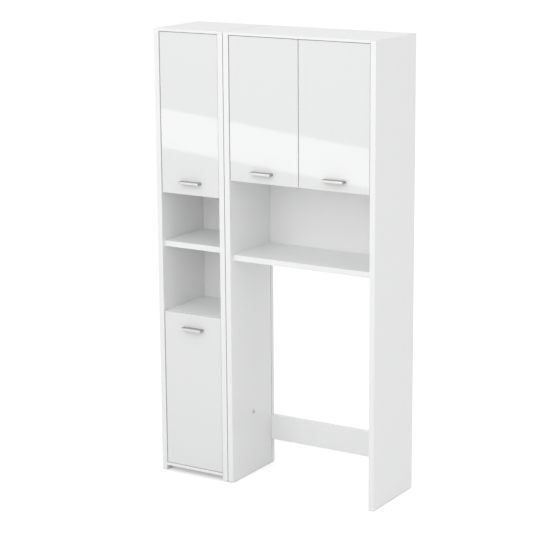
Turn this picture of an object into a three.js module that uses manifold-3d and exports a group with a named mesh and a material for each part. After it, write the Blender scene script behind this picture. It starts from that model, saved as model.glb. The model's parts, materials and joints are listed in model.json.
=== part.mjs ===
// Two white bathroom cabinets that stand side by side as one piece of furniture: a narrow column
// with two cupboards and two open niches, and a wide unit with a two-door cupboard and an open
// niche over a tall open bay. The doors sit between the side panels on concealed cup hinges.
//
// Millimetres, +Z up. The front faces -Y, and X runs to the right as seen from the front. The
// origin is on the floor, under the middle of the whole outline, handles included.
import * as THREE from "three";
import { mergeVertices } from "three/addons/utils/BufferGeometryUtils.js";
import Module from "manifold-3d";

const wasm = await Module();
wasm.setup();

// Overall sizes
const overallHeight = 1740;
const overallDepth = 305;
const columnWidth = 307;
const wideWidth = 640;
const unitGap = 3;

// Boards
const boardThickness = 22;
const innerShelfThickness = 16;
const backThickness = 4;
const doorThickness = 18;
const boardArris = 1;

// Heights above the floor
const glideHeight = 3;
const columnBottomUnderside = 21;
const columnNicheFloorTop = 649;
const columnNicheShelfTop = 925;
const columnUpperFloorUnderside = 1116;
const wideNicheFloorTop = 901.5;
const wideCupboardFloorUnderside = 1188.5;
const wideRearRailUnderside = 100;
const wideRearRailHeight = 100;

// Places front to back
const doorRecess = 3;
const doorBackGap = 1.2;
const nicheShelfSetback = 18;
const nicheFloorSetback = 22;
const innerShelfSetback = 34;
const backInset = 17;
const backGrooveDepth = 8;

// Gaps round the doors, and the lips of the outermost boards that frame them
const doorSideGap = 2.5;
const doorSeam = 3;
const doorLipGap = 2;
const topLip = 10;
const bottomLip = 11;

// Clearances
const seat = 0.3;
const overrun = 2;
const weldDistance = 0.001;

// Pegs in the ends of the boards
const pegRadius = 4;
const pegReach = 12;
const pegRoot = 6;
const pegPlaceShares = [0.22, 0.78];

// Pulls, closed on top and open below, each held by two screws through the door
const handleLength = 90;
const handleHeight = 9;
const handleProjection = 25;
const handleTop = 2.5;
const handleLip = 3.5;
const handlePost = 9;
const handleCorner = 3;
const handleArris = 0.8;
const handleScrewRadius = 2;
const handleHeadRadius = 4;
const handleHeadHeight = 1.9;
const handleHingeShift = 5;
const columnUpperHandleRise = 48.5;
const columnLowerHandleDrop = 55.5;
const wideHandleRise = 39;

// Concealed hinges. The two pivots are measured from the door's own corner, the first number from
// its hinge-side edge and the second from its front face; the knee is measured from the arm's pivot.
// The place share is that of the space between the cupboard's end board and its inner shelf.
const hingePlaceShare = 0.3;
const cupInset = 22;
const cupRadius = 17.5;
const cupDepth = 12;
const cupWall = 1;
const flangeLength = 52;
const flangeWidth = 16;
const flangeThickness = 1;
const flangeCorner = 4;
const cupPivot = [10, 13.1];
const armPivot = [34.2, 23.8];
const linkKnee = [-16.5, -15];
const linkThickness = 2.4;
const linkWidth = 8.4;
const linkBend = 4;
const knuckleRadius = 3;
const hingePinRadius = 1.8;
const earThickness = 2.6;
const armThickness = 3;
const armRise = 13.5;
const armNoseLength = 6;
const armCrankLength = 22;
const armBend = 5;
const plateScrewLine = 37;
const plateReach = 38;
const plateThickness = 2.5;
const wingLength = 50;
const wingWidth = 15;
const wingCorner = 4;

// Connectors that tie the two units together
const connectorShaftRadius = 3.6;
const connectorHeadRadius = 8;
const connectorHeadHeight = 2;
const connectorWasherRadius = 10;
const connectorBackShare = 0.5;
const connectorUpperDrop = 80;
const connectorLowerHeight = 250;

// Nail-in glides
const glideRadius = 9;
const glideNailRadius = 1.2;
const glideNailLength = 10;
const glideChamfer = 0.6;
const glideInset = 30;

// Facets of the round forms
const cupSegments = 16;
const headSegments = 9;
const pinSegments = 8;
const arcSegments = 1;
const bendSegments = 3;

// What follows from the sizes above
const doorFront = doorRecess;
const doorBack = doorRecess + doorThickness;
const behindDoors = doorBack + doorBackGap;
const backFront = overallDepth - backInset - backThickness;
const columnInner = columnWidth - 2 * boardThickness;
const wideInner = wideWidth - 2 * boardThickness;
const topUnderside = overallHeight - boardThickness;
const upperDoorTop = overallHeight - topLip - doorLipGap;
const columnLowerDoorBottom = columnBottomUnderside + bottomLip + doorLipGap;
const overallWidth = columnWidth + unitGap + wideWidth;
const handleFront = doorFront - handleProjection;
const connectorHeights = {
  upper: overallHeight - connectorUpperDrop,
  lower: connectorLowerHeight,
};

const finish = (color, roughness, metalness = 0) =>
  new THREE.MeshStandardMaterial({ color, roughness, metalness });
const materials = {
  board: finish(0xeeeeee, 0.45),
  back: finish(0xe9e9e8, 0.55),
  gloss: finish(0xf2f2f2, 0.12),
  handle: finish(0xc9c7c3, 0.3, 1),
  steel: finish(0xb9bbbd, 0.28, 1),
  plastic: finish(0xd8d8d6, 0.6),
};

const X = new THREE.Vector3(1, 0, 0);
const Y = new THREE.Vector3(0, 1, 0);
const Z = new THREE.Vector3(0, 0, 1);
// Where a flat outline's two axes and its extrusion point
const outlineFrames = {
  alongX: new THREE.Matrix4().makeBasis(Y, Z, X),
  alongY: new THREE.Matrix4().makeBasis(Z, X, Y),
  alongZ: new THREE.Matrix4(),
};

// A closed outline from corners [x, y, radius]; a corner with no radius stays sharp.
function outline(corners) {
  const shape = new THREE.Shape();
  const points = corners.map(([x, y]) => new THREE.Vector2(x, y));
  points.forEach((here, i) => {
    const radius = corners[i][2] ?? 0;
    const back = points.at(i - 1).clone().sub(here).normalize();
    const ahead = points[(i + 1) % points.length].clone().sub(here).normalize();
    const half = back.angleTo(ahead) / 2;
    const start = here.clone().addScaledVector(back, radius / Math.tan(half));
    const end = here.clone().addScaledVector(ahead, radius / Math.tan(half));
    if (i === 0) shape.moveTo(start.x, start.y);
    else shape.lineTo(start.x, start.y);
    if (radius === 0) return;
    const middle = back.clone().add(ahead).normalize();
    const centre = here.clone().addScaledVector(middle, radius / Math.sin(half));
    const from = start.sub(centre).angle();
    const to = end.sub(centre).angle();
    shape.absarc(centre.x, centre.y, radius, from, to, back.cross(ahead) > 0);
  });
  return shape;
}

function rectangle(x0, x1, y0, y1, radius = 0) {
  return outline([
    [x0, y0, radius],
    [x1, y0, radius],
    [x1, y1, radius],
    [x0, y1, radius],
  ]);
}

// The outline of a metal strip bent along a line of points, with the given bend radius at its middle
function bentStrip(points, thickness, bend) {
  const half = thickness / 2;
  const line = points.map(([x, y]) => new THREE.Vector2(x, y));
  const sides = { left: [], right: [] };
  line.forEach((here, i) => {
    const arriving = here.clone().sub(line[i - 1] ?? here).normalize();
    const leaving = (line[i + 1] ?? here).clone().sub(here).normalize();
    const along = arriving.clone().add(leaving).normalize();
    const across = new THREE.Vector2(-along.y, along.x);
    const inner = i > 0 && i < line.length - 1;
    const slant = inner ? Math.cos(arriving.angleTo(leaving) / 2) : 1;
    const turn = inner ? Math.sign(arriving.cross(leaving)) : 0;
    for (const [side, sign] of [["left", 1], ["right", -1]]) {
      const corner = here.clone().addScaledVector(across, (sign * half) / slant);
      const radius = inner ? bend - sign * turn * half : 0;
      sides[side].push([corner.x, corner.y, radius]);
    }
  });
  return outline([...sides.right, ...sides.left.reverse()]);
}

function extrude(shape, length, frame, { arris = 0, segments = arcSegments } = {}) {
  return new THREE.ExtrudeGeometry(shape, {
    depth: length - 2 * arris,
    bevelEnabled: arris > 0,
    bevelThickness: arris,
    bevelSize: arris,
    bevelOffset: -arris,
    bevelSegments: 1,
    curveSegments: segments,
  })
    .translate(0, 0, arris)
    .applyMatrix4(outlineFrames[frame]);
}

// A round bar along an axis of the model, from one place on it to another
function bar(axis, radius, from, to, segments = pinSegments) {
  return new THREE.CylinderGeometry(radius, radius, to - from, segments)
    .translate(0, (from + to) / 2, 0)
    .applyQuaternion(new THREE.Quaternion().setFromUnitVectors(Y, axis));
}

// A solid of revolution about an axis, from points [radius, place on the axis]
function turned(axis, points, segments = headSegments) {
  const profile = points.map(([radius, place]) => new THREE.Vector2(radius, place));
  return new THREE.LatheGeometry(profile, segments).applyQuaternion(
    new THREE.Quaternion().setFromUnitVectors(Y, axis),
  );
}

function toSolid(geometry) {
  const bare = geometry.index ? geometry.toNonIndexed() : geometry.clone();
  bare.deleteAttribute("normal");
  bare.deleteAttribute("uv");
  const merged = mergeVertices(bare, weldDistance);
  return new wasm.Manifold(
    new wasm.Mesh({
      numProp: 3,
      vertProperties: merged.attributes.position.array,
      triVerts: new Uint32Array(merged.index.array),
    }),
  );
}

function toGeometry(solid) {
  const { vertProperties, triVerts } = solid.getMesh();
  return new THREE.BufferGeometry()
    .setAttribute("position", new THREE.BufferAttribute(vertProperties, 3))
    .setIndex(new THREE.BufferAttribute(triVerts, 1))
    .toNonIndexed();
}

// One closed body: the base, with some shapes joined on and then others cut away
function carve(base, { joined = [], cut = [], pinned = [] }) {
  let solid = toSolid(base);
  for (const shape of joined) solid = solid.add(toSolid(shape));
  for (const shape of cut) solid = solid.subtract(toSolid(shape));
  for (const shape of pinned) solid = solid.add(toSolid(shape));
  return toGeometry(solid);
}

function common(a, b) {
  return toGeometry(toSolid(a).intersect(toSolid(b)));
}

function addPiece(group, name, geometry, material, place = [0, 0, 0]) {
  if (!geometry.attributes.normal) geometry.computeVertexNormals();
  const mesh = new THREE.Mesh(geometry, material);
  mesh.name = name;
  mesh.position.set(...place);
  group.add(mesh);
  return mesh;
}

function addGroup(parent, place, mirrored = false) {
  const group = new THREE.Group();
  group.position.set(...place);
  if (mirrored) group.scale.x = -1;
  parent.add(group);
  return group;
}

// Side panel: its outer face at x = 0 and its inner face towards +X, grooved for the back

function sidePanel(pegPlaces, connectorPlaces) {
  const inner = boardThickness;
  const grooveBottom = inner - backGrooveDepth;
  const section = outline([
    [0, 0, boardArris],
    [inner, 0, boardArris],
    [inner, backFront - seat],
    [grooveBottom, backFront - seat],
    [grooveBottom, backFront + backThickness + seat],
    [inner, backFront + backThickness + seat],
    [inner, overallDepth],
    [0, overallDepth],
  ]);
  const pegHoles = pegPlaces.map(([y, z]) =>
    bar(X, pegRadius + seat, inner - pegReach - seat, inner + overrun).translate(0, y, z),
  );
  const connectorHoles = connectorPlaces.map(([y, z]) =>
    bar(X, connectorShaftRadius + seat, -overrun, inner + overrun).translate(0, y, z),
  );
  const nailHoles = glidePlaces().map((y) =>
    bar(Z, glideNailRadius + seat, glideHeight - overrun, glideHeight + glideNailLength + seat)
      .translate(boardThickness / 2, y, 0),
  );
  const panel = extrude(section, overallHeight - glideHeight, "alongZ").translate(0, 0, glideHeight);
  return carve(panel, { cut: [...pegHoles, ...connectorHoles, ...nailHoles] });
}

function glidePlaces() {
  return [glideInset, overallDepth - glideInset];
}

// Boards that run from side to side

// The end section of a board, front at the left. A lip stands in front of the doors' edges, and a
// groove holds the edge of the back; both are drawn for a top board and flipped for a bottom one.
function boardSection({ front, rear, thickness, lip = 0, grooved = false, flipped = false }) {
  const corners = lip
    ? [
        [behindDoors, 0],
        [behindDoors, thickness - lip],
        [front, thickness - lip, boardArris],
        [front, thickness, boardArris],
      ]
    : [
        [front, 0, boardArris],
        [front, thickness, boardArris],
      ];
  corners.push([rear, thickness], [rear, 0]);
  if (grooved) {
    corners.push(
      [backFront + backThickness + seat, 0],
      [backFront + backThickness + seat, backGrooveDepth],
      [backFront - seat, backGrooveDepth],
      [backFront - seat, 0],
    );
  }
  return outline(corners.map(([y, z, r]) => [y, flipped ? thickness - z : z, r]));
}

// Where the pegs of a board sit, as [y, z] from the front and from the floor
function pegPlacesOf(board) {
  const span = board.rear - board.front;
  if (board.upright) {
    const y = board.front + span / 2;
    return pegPlaceShares.map((share) => [y, board.underside + board.thickness * share]);
  }
  const z = board.underside + board.thickness / 2;
  return pegPlaceShares.map((share) => [board.front + span * share, z]);
}

function crossBoard(board, inner) {
  const length = inner - 2 * seat;
  const base = extrude(boardSection(board), length, "alongX").translate(seat, 0, board.underside);
  const pegs = pegPlacesOf(board).flatMap(([y, z]) => [
    bar(X, pegRadius, -pegReach, seat + pegRoot).translate(0, y, z),
    bar(X, pegRadius, inner - seat - pegRoot, inner + pegReach).translate(0, y, z),
  ]);
  return carve(base, { joined: pegs });
}

function fullBoard(underside, options = {}) {
  const thickness = options.thickness ?? boardThickness;
  return { front: behindDoors, rear: backFront - seat, thickness, underside, ...options };
}

const lippedTop = { front: 0, rear: overallDepth, lip: topLip, grooved: true };
const lippedBottom = { front: 0, rear: overallDepth, lip: bottomLip, grooved: true, flipped: true };

const columnBottomTop = columnBottomUnderside + boardThickness;
const columnNicheFloorUnderside = columnNicheFloorTop - boardThickness;
const columnUpperFloorTop = columnUpperFloorUnderside + boardThickness;
const wideCupboardFloorTop = wideCupboardFloorUnderside + boardThickness;

function innerShelf(below, above) {
  const underside = (below + above - innerShelfThickness) / 2;
  return fullBoard(underside, { front: innerShelfSetback, thickness: innerShelfThickness });
}

const columnBoards = {
  column_top: fullBoard(topUnderside, lippedTop),
  column_upper_shelf: innerShelf(columnUpperFloorTop, topUnderside),
  column_upper_floor: fullBoard(columnUpperFloorUnderside),
  column_niche_shelf: fullBoard(columnNicheShelfTop - boardThickness, { front: nicheShelfSetback }),
  column_niche_floor: fullBoard(columnNicheFloorUnderside),
  column_lower_shelf: innerShelf(columnBottomTop, columnNicheFloorUnderside),
  column_bottom: fullBoard(columnBottomUnderside, lippedBottom),
};

const wideBoards = {
  wide_top: fullBoard(topUnderside, lippedTop),
  wide_inner_shelf: innerShelf(wideCupboardFloorTop, topUnderside),
  wide_cupboard_floor: fullBoard(wideCupboardFloorUnderside),
  wide_niche_floor: fullBoard(wideNicheFloorTop - boardThickness, {
    front: nicheFloorSetback,
    rear: overallDepth,
    grooved: true,
    flipped: true,
  }),
  wide_rear_rail: fullBoard(wideRearRailUnderside, {
    front: overallDepth - boardThickness,
    rear: overallDepth,
    thickness: wideRearRailHeight,
    upright: true,
  }),
};

// The thin back, let into grooves on all four sides
function backPanel(inner, lowerBoardTop) {
  const reach = backGrooveDepth - seat;
  const size = [inner + 2 * reach, backThickness, topUnderside - lowerBoardTop + 2 * reach];
  return new THREE.BoxGeometry(...size).translate(
    inner / 2,
    backFront + backThickness / 2,
    (topUnderside + lowerBoardTop) / 2,
  );
}

function addUnit(parent, { name, width, boards, backAbove, joinedSide, place }) {
  const unit = addGroup(parent, place);
  const pegPlaces = Object.values(boards).flatMap(pegPlacesOf);
  for (const side of ["left", "right"]) {
    const right = side === "right";
    const holder = addGroup(unit, [right ? width : 0, 0, 0], right);
    const connectors = side === joinedSide ? connectorPlaces() : [];
    addPiece(holder, `${name}_${side}_side`, sidePanel(pegPlaces, connectors), materials.board);
    glidePlaces().forEach((y, i) => {
      const end = i === 0 ? "front" : "rear";
      const at = [boardThickness / 2, y, 0];
      addPiece(holder, `${name}_${side}_${end}_glide`, glide(), materials.plastic, at);
    });
  }
  const inside = addGroup(unit, [boardThickness, 0, 0]);
  const inner = width - 2 * boardThickness;
  for (const [boardName, board] of Object.entries(boards)) {
    addPiece(inside, boardName, crossBoard(board, inner), materials.board);
  }
  addPiece(inside, `${name}_back`, backPanel(inner, backAbove), materials.back);
  return inside;
}

// Glide: a plastic foot on a nail, under the end of a side panel
function glide() {
  const top = glideHeight - seat;
  const nailEnd = glideHeight + glideNailLength;
  return turned(Z, [
    [0, 0],
    [glideRadius - glideChamfer, 0],
    [glideRadius, glideChamfer],
    [glideRadius, top],
    [glideNailRadius, top],
    [glideNailRadius, nailEnd],
    [0, nailEnd],
  ], pinSegments);
}

// Connector: a two-headed bolt through both units, with a washer in the gap between them
function connectorPlaces() {
  return Object.values(connectorHeights).map((z) => [overallDepth * connectorBackShare, z]);
}

function connector() {
  const washer = unitGap / 2 - seat;
  const head = unitGap / 2 + boardThickness + seat;
  const end = head + connectorHeadHeight;
  return turned(X, [
    [0, -end],
    [connectorHeadRadius, -end],
    [connectorHeadRadius, -head],
    [connectorShaftRadius, -head],
    [connectorShaftRadius, -washer],
    [connectorWasherRadius, -washer],
    [connectorWasherRadius, washer],
    [connectorShaftRadius, washer],
    [connectorShaftRadius, head],
    [connectorHeadRadius, head],
    [connectorHeadRadius, end],
    [0, end],
  ]);
}

// Door assemblies: x runs from the inner face of the panel that carries the hinges, z from the
// door's lower edge

function doorPanel({ width, height, handleX, handleZ, hingeZs }) {
  const cupBores = hingeZs.map((z) =>
    bar(Y, cupRadius + seat, doorBack - cupDepth - seat, doorBack + overrun, cupSegments)
      .translate(doorSideGap + cupInset, 0, z),
  );
  const screwHoles = handleScrewOffsets().map((dx) =>
    bar(Y, handleScrewRadius + seat, doorFront - overrun, doorBack + overrun)
      .translate(handleX + dx, 0, handleZ),
  );
  const face = rectangle(0, height, doorSideGap, doorSideGap + width);
  const slab = extrude(face, doorThickness, "alongY", { arris: boardArris })
    .translate(0, doorFront, 0);
  return carve(slab, { cut: [...cupBores, ...screwHoles] });
}

// The heights of a door's lower and upper hinge, from the top of its cupboard's floor and the
// underside of its ceiling
function hingeHeights([floorTop, ceiling]) {
  const inset = (hingePlaceShare * (ceiling - floorTop - innerShelfThickness)) / 2;
  return [floorTop + inset, ceiling - inset];
}

// Pull: a plate with a lip along its front edge and a post under each end, which takes a screw
function handleScrewOffsets() {
  const reach = (handleLength - handlePost) / 2;
  return [-reach, reach];
}

function handle() {
  const half = handleLength / 2;
  const inner = half - handlePost;
  const foot = doorFront - seat;
  const behindLip = handleFront + handleLip;
  const body = outline([
    [-half, foot],
    [-half, handleFront, handleCorner],
    [half, handleFront, handleCorner],
    [half, foot],
  ]);
  const block = extrude(body, handleHeight, "alongZ", {
    arris: handleArris,
    segments: bendSegments,
  }).translate(0, 0, -handleHeight / 2);
  const hollow = outline([
    [-inner, doorFront + overrun],
    [-inner, behindLip, handleCorner],
    [inner, behindLip, handleCorner],
    [inner, doorFront + overrun],
  ]);
  const grip = extrude(hollow, handleHeight - handleTop + overrun, "alongZ", {
    segments: bendSegments,
  }).translate(0, 0, -handleHeight / 2 - overrun);
  const screwEnd = doorBack + seat + handleHeadHeight;
  const screws = handleScrewOffsets().flatMap((dx) => [
    bar(Y, handleScrewRadius, foot - handlePost, screwEnd).translate(dx, 0, 0),
    bar(Y, handleHeadRadius, doorBack + seat, screwEnd, headSegments).translate(dx, 0, 0),
  ]);
  return carve(block, { joined: screws, cut: [grip] });
}

// Hinge pieces, with z = 0 at the hinge's middle
const cupPin = [doorSideGap + cupPivot[0], doorFront + cupPivot[1]];
const armPin = [doorSideGap + armPivot[0], doorFront + armPivot[1]];
const knee = [armPin[0] + linkKnee[0], armPin[1] + linkKnee[1]];
const armWidth = linkWidth + 2 * seat + 2 * earThickness;

function centredBar(radius, [x, y], width, segments = pinSegments) {
  return bar(Z, radius, -width / 2, width / 2, segments).translate(x, y, 0);
}

// Cup: a round pot let into the door, with a flange on the door's back, the link's pin across it and
// a notch in the rim that the link swings through
function hingeCup() {
  const floor = doorBack - cupDepth;
  const inner = cupRadius - cupWall;
  const rim = doorBack + seat + flangeThickness;
  const pot = turned(Y, [
    [0, floor],
    [cupRadius, floor],
    [cupRadius, rim],
    [inner, rim],
    [inner, floor + cupWall],
    [0, floor + cupWall],
  ], cupSegments).translate(doorSideGap + cupInset, 0, 0);
  const halfWidth = flangeWidth / 2;
  const halfLength = flangeLength / 2;
  const flange = extrude(
    rectangle(-halfLength, halfLength, -halfWidth, halfWidth, flangeCorner),
    flangeThickness,
    "alongY",
  ).translate(doorSideGap + cupInset, doorBack + seat, 0);
  const hollow = bar(Y, inner, floor + cupWall, rim + overrun, cupSegments)
    .translate(doorSideGap + cupInset, 0, 0);
  const core = bar(Y, cupRadius - cupWall / 2, floor, rim, cupSegments)
    .translate(doorSideGap + cupInset, 0, 0);
  const pin = common(centredBar(hingePinRadius, cupPin, 2 * cupRadius), core);
  const rimEdge = doorSideGap + cupInset - cupRadius;
  const halfNotch = linkWidth / 2 + 2 * seat;
  const notch = extrude(
    rectangle(-halfNotch, halfNotch, rimEdge - overrun, rimEdge + cupRadius),
    rim + overrun - doorBack,
    "alongY",
  ).translate(0, doorBack, 0);
  return carve(pot, { joined: [flange], cut: [hollow, notch], pinned: [pin] });
}

// Link: a strip with a knee, between the pin of the arm and the pin of the cup
function hingeLink() {
  const strip = bentStrip([armPin, knee, cupPin], linkThickness, linkBend);
  const base = extrude(strip, linkWidth, "alongZ", { segments: bendSegments })
    .translate(0, 0, -linkWidth / 2);
  const knuckles = [armPin, cupPin].map((pin) =>
    centredBar(knuckleRadius, pin, linkWidth, headSegments),
  );
  const bores = [armPin, cupPin].map((pin) =>
    centredBar(hingePinRadius + seat, pin, linkWidth + 2 * overrun),
  );
  return carve(base, { joined: knuckles, cut: bores });
}

// Arm on its mounting plate: a cranked strip whose forked nose carries the link's pin
function hingeArm() {
  const crankStart = armPin[1] + armNoseLength;
  const crankEnd = crankStart + armCrankLength;
  const screwLine = doorBack + plateScrewLine;
  const plateStart = screwLine - wingWidth / 2;
  const plateEnd = screwLine + plateReach;
  const strip = bentStrip(
    [armPin, [armPin[0], crankStart], [armRise, crankEnd], [armRise, plateEnd]],
    armThickness,
    armBend,
  );
  const base = extrude(strip, armWidth, "alongZ", { segments: bendSegments })
    .translate(0, 0, -armWidth / 2);
  const ears = centredBar(knuckleRadius, armPin, armWidth, headSegments);
  const slot = centredBar(knuckleRadius + 2 * seat, armPin, linkWidth + 2 * seat, headSegments);
  const pin = centredBar(hingePinRadius, armPin, armWidth);
  const halfWing = wingLength / 2;
  const wings = extrude(
    rectangle(plateStart, screwLine + wingWidth / 2, -halfWing, halfWing, wingCorner),
    plateThickness,
    "alongX",
  ).translate(seat, 0, 0);
  const plateWidth = armWidth - armThickness;
  const riser = extrude(
    rectangle(plateStart, plateEnd, -plateWidth / 2, plateWidth / 2),
    armRise - seat,
    "alongX",
  ).translate(seat, 0, 0);
  return carve(base, { joined: [ears, wings, riser], cut: [slot], pinned: [pin] });
}

function addDoor(parent, { name, edge, width, bottom, top, cupboard, handleZ, hingedRight = false }) {
  const assembly = addGroup(parent, [edge, 0, bottom], hingedRight);
  const height = top - bottom;
  const handlePlace = { handleX: doorSideGap + width / 2 - handleHingeShift, handleZ: handleZ - bottom };
  const hingeZs = hingeHeights(cupboard).map((z) => z - bottom);
  const panel = doorPanel({ width, height, hingeZs, ...handlePlace });
  addPiece(assembly, name, panel, materials.gloss);
  const handleAt = [handlePlace.handleX, 0, handlePlace.handleZ];
  addPiece(assembly, `${name}_handle`, handle(), materials.handle, handleAt);
  hingeZs.forEach((z, i) => {
    const hinge = `${name}_${i === 0 ? "lower" : "upper"}_hinge`;
    addPiece(assembly, `${hinge}_arm`, hingeArm(), materials.steel, [0, 0, z]);
    addPiece(assembly, `${hinge}_link`, hingeLink(), materials.steel, [0, 0, z]);
    addPiece(assembly, `${hinge}_cup`, hingeCup(), materials.steel, [0, 0, z]);
  });
}

// The whole cabinet
const cabinet = new THREE.Group();
cabinet.position.set(-overallWidth / 2, -(overallDepth + handleFront) / 2, 0);

const insideColumn = addUnit(cabinet, {
  name: "column",
  width: columnWidth,
  boards: columnBoards,
  backAbove: columnBottomTop,
  joinedSide: "right",
  place: [0, 0, 0],
});
const insideWide = addUnit(cabinet, {
  name: "wide",
  width: wideWidth,
  boards: wideBoards,
  backAbove: wideNicheFloorTop,
  joinedSide: "left",
  place: [columnWidth + unitGap, 0, 0],
});

const columnDoorWidth = columnInner - 2 * doorSideGap;
const wideDoorWidth = (wideInner - 2 * doorSideGap - doorSeam) / 2;

addDoor(insideColumn, {
  name: "column_upper_door",
  edge: columnInner,
  width: columnDoorWidth,
  bottom: columnUpperFloorUnderside,
  top: upperDoorTop,
  cupboard: [columnUpperFloorTop, topUnderside],
  handleZ: columnUpperFloorUnderside + columnUpperHandleRise,
  hingedRight: true,
});
addDoor(insideColumn, {
  name: "column_lower_door",
  edge: columnInner,
  width: columnDoorWidth,
  bottom: columnLowerDoorBottom,
  top: columnNicheFloorTop,
  cupboard: [columnBottomTop, columnNicheFloorUnderside],
  handleZ: columnNicheFloorTop - columnLowerHandleDrop,
  hingedRight: true,
});
for (const side of ["left", "right"]) {
  addDoor(insideWide, {
    name: `wide_${side}_door`,
    edge: side === "left" ? 0 : wideInner,
    width: wideDoorWidth,
    bottom: wideCupboardFloorUnderside,
    top: upperDoorTop,
    cupboard: [wideCupboardFloorTop, topUnderside],
    handleZ: wideCupboardFloorUnderside + wideHandleRise,
    hingedRight: side === "right",
  });
}

for (const [name, z] of Object.entries(connectorHeights)) {
  const at = [columnWidth + unitGap / 2, overallDepth * connectorBackShare, z];
  addPiece(cabinet, `${name}_connector`, connector(), materials.steel, at);
}

export default cabinet;
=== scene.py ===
# Looks of a white bathroom cabinet: a narrow column beside a wide unit over an open bay
import json
import math

import bmesh
import bpy
from bpy.props import FloatProperty, FloatVectorProperty, IntProperty, PointerProperty
from bpy.types import Operator, Panel, PropertyGroup
from mathutils import Matrix, Vector


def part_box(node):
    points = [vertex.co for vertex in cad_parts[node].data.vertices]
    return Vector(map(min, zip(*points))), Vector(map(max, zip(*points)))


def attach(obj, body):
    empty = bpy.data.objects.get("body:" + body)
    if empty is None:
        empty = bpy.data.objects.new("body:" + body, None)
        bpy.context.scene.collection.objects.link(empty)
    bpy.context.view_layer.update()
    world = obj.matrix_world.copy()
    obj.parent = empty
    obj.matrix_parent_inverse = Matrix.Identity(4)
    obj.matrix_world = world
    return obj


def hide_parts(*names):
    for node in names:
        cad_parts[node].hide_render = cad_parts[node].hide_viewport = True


bl_info = {
    "name": "Bathroom cabinet",
    "version": (1, 0, 0),
    "blender": (4, 5, 0),
    "location": "View3D > Sidebar > Cabinet",
    "description": "Dresses a white bathroom cabinet with gloss doors, ledge pulls and cup hinges",
    "category": "Object",
}

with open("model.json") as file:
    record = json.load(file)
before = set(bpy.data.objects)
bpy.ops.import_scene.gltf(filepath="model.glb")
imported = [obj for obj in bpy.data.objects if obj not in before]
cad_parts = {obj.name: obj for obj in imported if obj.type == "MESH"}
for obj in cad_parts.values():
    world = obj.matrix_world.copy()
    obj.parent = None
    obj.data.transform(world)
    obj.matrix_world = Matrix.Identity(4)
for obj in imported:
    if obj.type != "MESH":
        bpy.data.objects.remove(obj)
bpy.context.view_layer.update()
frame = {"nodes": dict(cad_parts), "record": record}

# Each door, and the panel that it hangs on
PANELS = {
    "column_upper_door": "column_right_side",
    "column_lower_door": "column_right_side",
    "wide_left_door": "wide_left_side",
    "wide_right_door": "wide_right_side",
}
DOOR_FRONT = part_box("wide_left_door")[0].y
DOOR_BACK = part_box("wide_left_door")[1].y
BOARD_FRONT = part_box("wide_left_side")[0].y
PULL_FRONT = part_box("wide_left_door_handle")[0].y
MILLIMETRE = 0.001
MICROMETRE = 0.001 * MILLIMETRE
# An edge this near to a plane lies in it
TINY = 20 * MICROMETRE
# A cutting piece reaches this far past what it cuts
SPARE = 1.0 * MILLIMETRE
# Two faces are shaded as one below the first angle, and soften rounds edges above the second
SMOOTH_BELOW = math.radians(30.0)
SHARP_ABOVE = math.radians(40.0)
Z_AXIS = (0.0, 0.0, 1.0)
# Turns that lay the Z axis along another
ALONG = {
    "X": (0.0, math.pi / 2, 0.0),
    "Y": (-math.pi / 2, 0.0, 0.0),
    "Z": (0.0, 0.0, 0.0),
}


# Sizes and colours that a user would change


def length(name, description, millimetres):
    return FloatProperty(
        name=name,
        description=description,
        default=millimetres * MILLIMETRE,
        min=0.0,
        unit="LENGTH",
    )


def lengths(name, description, *millimetres):
    return FloatVectorProperty(
        name=name,
        description=description,
        default=[value * MILLIMETRE for value in millimetres],
        size=len(millimetres),
        unit="LENGTH",
    )


def angle(name, description, degrees):
    return FloatProperty(
        name=name, description=description, default=math.radians(degrees), unit="ROTATION"
    )


def factor(name, description, value, highest=1.0):
    return FloatProperty(name=name, description=description, default=value, min=0.0, max=highest)


def colour(name, description, value):
    return FloatVectorProperty(
        name=name,
        description=description,
        default=value,
        size=3,
        min=0.0,
        max=1.0,
        subtype="COLOR",
    )


class CabinetCamera(PropertyGroup):
    """Where the picture is taken from"""

    position: FloatVectorProperty(
        name="Position",
        description="Place of the lens",
        default=(3.5604, -5.8094, 2.4201),
        unit="LENGTH",
        subtype="TRANSLATION",
    )
    turn: angle("Turn", "Turn to the left from straight at the doors", 30.945)
    tilt: angle("Tilt", "Tilt below the horizon", 12.987)
    roll: angle("Roll", "Roll about the line of sight", -0.209)
    lens: FloatProperty(
        name="Lens", description="Focal length in millimetres", default=124.588, unit="CAMERA"
    )
    sensor: FloatProperty(
        name="Sensor", description="Width of the sensor in millimetres", default=36.0
    )
    shift: FloatProperty(
        name="Shift", description="Sideways shift, in picture widths", default=-0.06285
    )
    reach: FloatProperty(
        name="Reach", description="Farthest that the camera sees", default=200.0, unit="LENGTH"
    )


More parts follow.
